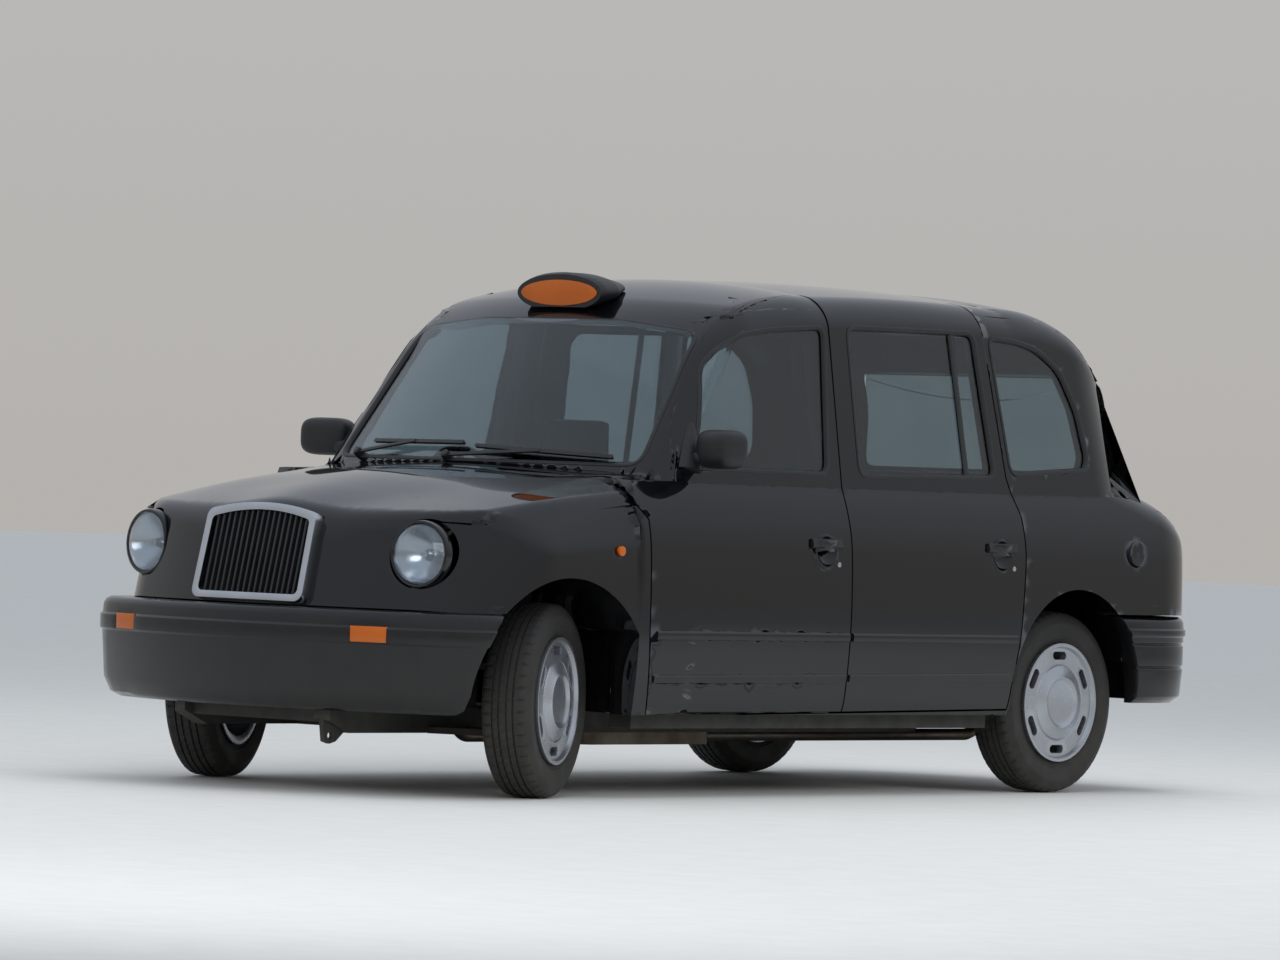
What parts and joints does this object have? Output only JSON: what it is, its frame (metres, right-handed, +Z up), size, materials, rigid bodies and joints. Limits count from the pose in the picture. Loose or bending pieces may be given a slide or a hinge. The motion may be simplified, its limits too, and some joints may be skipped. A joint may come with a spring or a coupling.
{
  "type": "purpose-built taxi cab",
  "caption": "Tall black purpose-built taxi cab with hung doors, bonnet and boot lid, steered front wheels and a blank roof sign.",
  "frame": {"origin": "on the ground, at the middle of the whole cab's length and width", "axes": "+Y to the rear of the car, +X to the car's left side, +Z up"},
  "size_m": [2.036, 4.5748, 1.8319],
  "materials": {
    "body_paint": "gloss",
    "bumper_paint": "gloss",
    "window_glass": "polished",
    "lamp_glass": "polished",
    "amber_plastic": "gloss",
    "red_plastic": "gloss",
    "bright_trim": "satin",
    "black_plastic": "matte",
    "underbody": "satin",
    "axle_iron": "matte",
    "engine_iron": "matte",
    "exhaust_steel": "satin",
    "seat_cloth": "matte",
    "wheel_silver": "satin",
    "tyre_rubber": "matte"
  },
  "bodies": {
    "body": {"roof": "body_paint", "scuttle": "body_paint", "floor": "underbody", "tail_panel": "body_paint", "side_frame_left": "body_paint", "side_frame_right": "body_paint", "fixed_glass": "window_glass", "front_panel": "body_paint", "wing_left": "body_paint", "wing_right": "body_paint", "headlamps": "lamp_glass", "grille_surround": "bright_trim", "grille_bars": "black_plastic", "front_bumper": "bumper_paint", "rear_bumper": "bumper_paint", "chassis": "underbody", "rear_axle": "axle_iron", "engine": "engine_iron", "exhaust": "exhaust_steel", "fuel_tank": "underbody", "dashboard": "black_plastic", "steering_wheel": "black_plastic", "driver_seat": "seat_cloth", "partition": "black_plastic", "tip_up_seats": "seat_cloth", "rear_bench": "seat_cloth", "roof_sign": "black_plastic", "amber_lamps": "amber_plastic", "tail_lamps": "red_plastic", "quarter_panel_left": "body_paint", "quarter_panel_right": "body_paint", "front_suspension": "axle_iron", "crossmembers": "underbody"},
    "bonnet": {"bonnet": "body_paint"},
    "boot": {"boot_lid": "body_paint"},
    "front_door_left": {"door_front_left": "body_paint", "glass_front_left": "window_glass", "mirror_left": "black_plastic"},
    "rear_door_left": {"door_rear_left": "body_paint", "glass_rear_left": "window_glass"},
    "steering_left": {"knuckle_left": "axle_iron"},
    "road_wheel_front_left": {"wheel_front_left": "wheel_silver", "tyre_front_left": "tyre_rubber"},
    "road_wheel_rear_left": {"wheel_rear_left": "wheel_silver", "tyre_rear_left": "tyre_rubber"},
    "front_door_right": {"door_front_right": "body_paint", "glass_front_right": "window_glass", "mirror_right": "black_plastic"},
    "rear_door_right": {"door_rear_right": "body_paint", "glass_rear_right": "window_glass"},
    "steering_right": {"knuckle_right": "axle_iron"},
    "road_wheel_front_right": {"wheel_front_right": "wheel_silver", "tyre_front_right": "tyre_rubber"},
    "road_wheel_rear_right": {"wheel_rear_right": "wheel_silver", "tyre_rear_right": "tyre_rubber"}
  },
  "joints": [
    {"name": "front_door_left_hinge", "type": "hinge", "parent": "body", "child": "front_door_left", "pos_m": [0.89, -1.1655, 0.7], "axis": [0, 0, -1], "range_deg": [0, 66]},
    {"name": "rear_door_left_hinge", "type": "hinge", "parent": "body", "child": "rear_door_left", "pos_m": [0.89, 0.0025, 0.7], "axis": [0, 0, -1], "range_deg": [0, 88]},
    {"name": "front_door_right_hinge", "type": "hinge", "parent": "body", "child": "front_door_right", "pos_m": [-0.89, -1.1655, 0.7], "axis": [0, 0, 1], "range_deg": [0, 66]},
    {"name": "rear_door_right_hinge", "type": "hinge", "parent": "body", "child": "rear_door_right", "pos_m": [-0.89, 0.0025, 0.7], "axis": [0, 0, 1], "range_deg": [0, 88]},
    {"name": "bonnet_hinge", "type": "hinge", "parent": "body", "child": "bonnet", "pos_m": [0, -1.165, 1.134], "axis": [-1, 0, 0], "range_deg": [0, 55]},
    {"name": "boot_hinge", "type": "hinge", "parent": "body", "child": "boot", "pos_m": [0, 2.0495, 1.041], "axis": [1, 0, 0], "range_deg": [0, 80]},
    {"name": "steer_left", "type": "hinge", "parent": "body", "child": "steering_left", "pos_m": [0.622, -1.5225, 0.334], "axis": [0, 0, 1], "range_deg": [-67, 23]},
    {"name": "roll_front_left", "type": "hinge", "parent": "steering_left", "child": "road_wheel_front_left", "pos_m": [0.70545, -1.48879, 0.334], "axis": [0.9272, 0.3746, 0], "continuous": true},
    {"name": "roll_rear_left", "type": "hinge", "parent": "body", "child": "road_wheel_rear_left", "pos_m": [0.712, 1.3635, 0.334], "axis": [1, 0, 0], "continuous": true},
    {"name": "steer_right", "type": "hinge", "parent": "body", "child": "steering_right", "pos_m": [-0.622, -1.5225, 0.334], "axis": [0, 0, 1], "range_deg": [-67, 23]},
    {"name": "roll_front_right", "type": "hinge", "parent": "steering_right", "child": "road_wheel_front_right", "pos_m": [-0.70545, -1.55621, 0.334], "axis": [0.9272, 0.3746, 0], "continuous": true},
    {"name": "roll_rear_right", "type": "hinge", "parent": "body", "child": "road_wheel_rear_right", "pos_m": [-0.712, 1.3635, 0.334], "axis": [1, 0, 0], "continuous": true}
  ],
  "couplings": [
    {"joint": "steer_right", "follows": "steer_left", "ratio": 1}
  ]
}
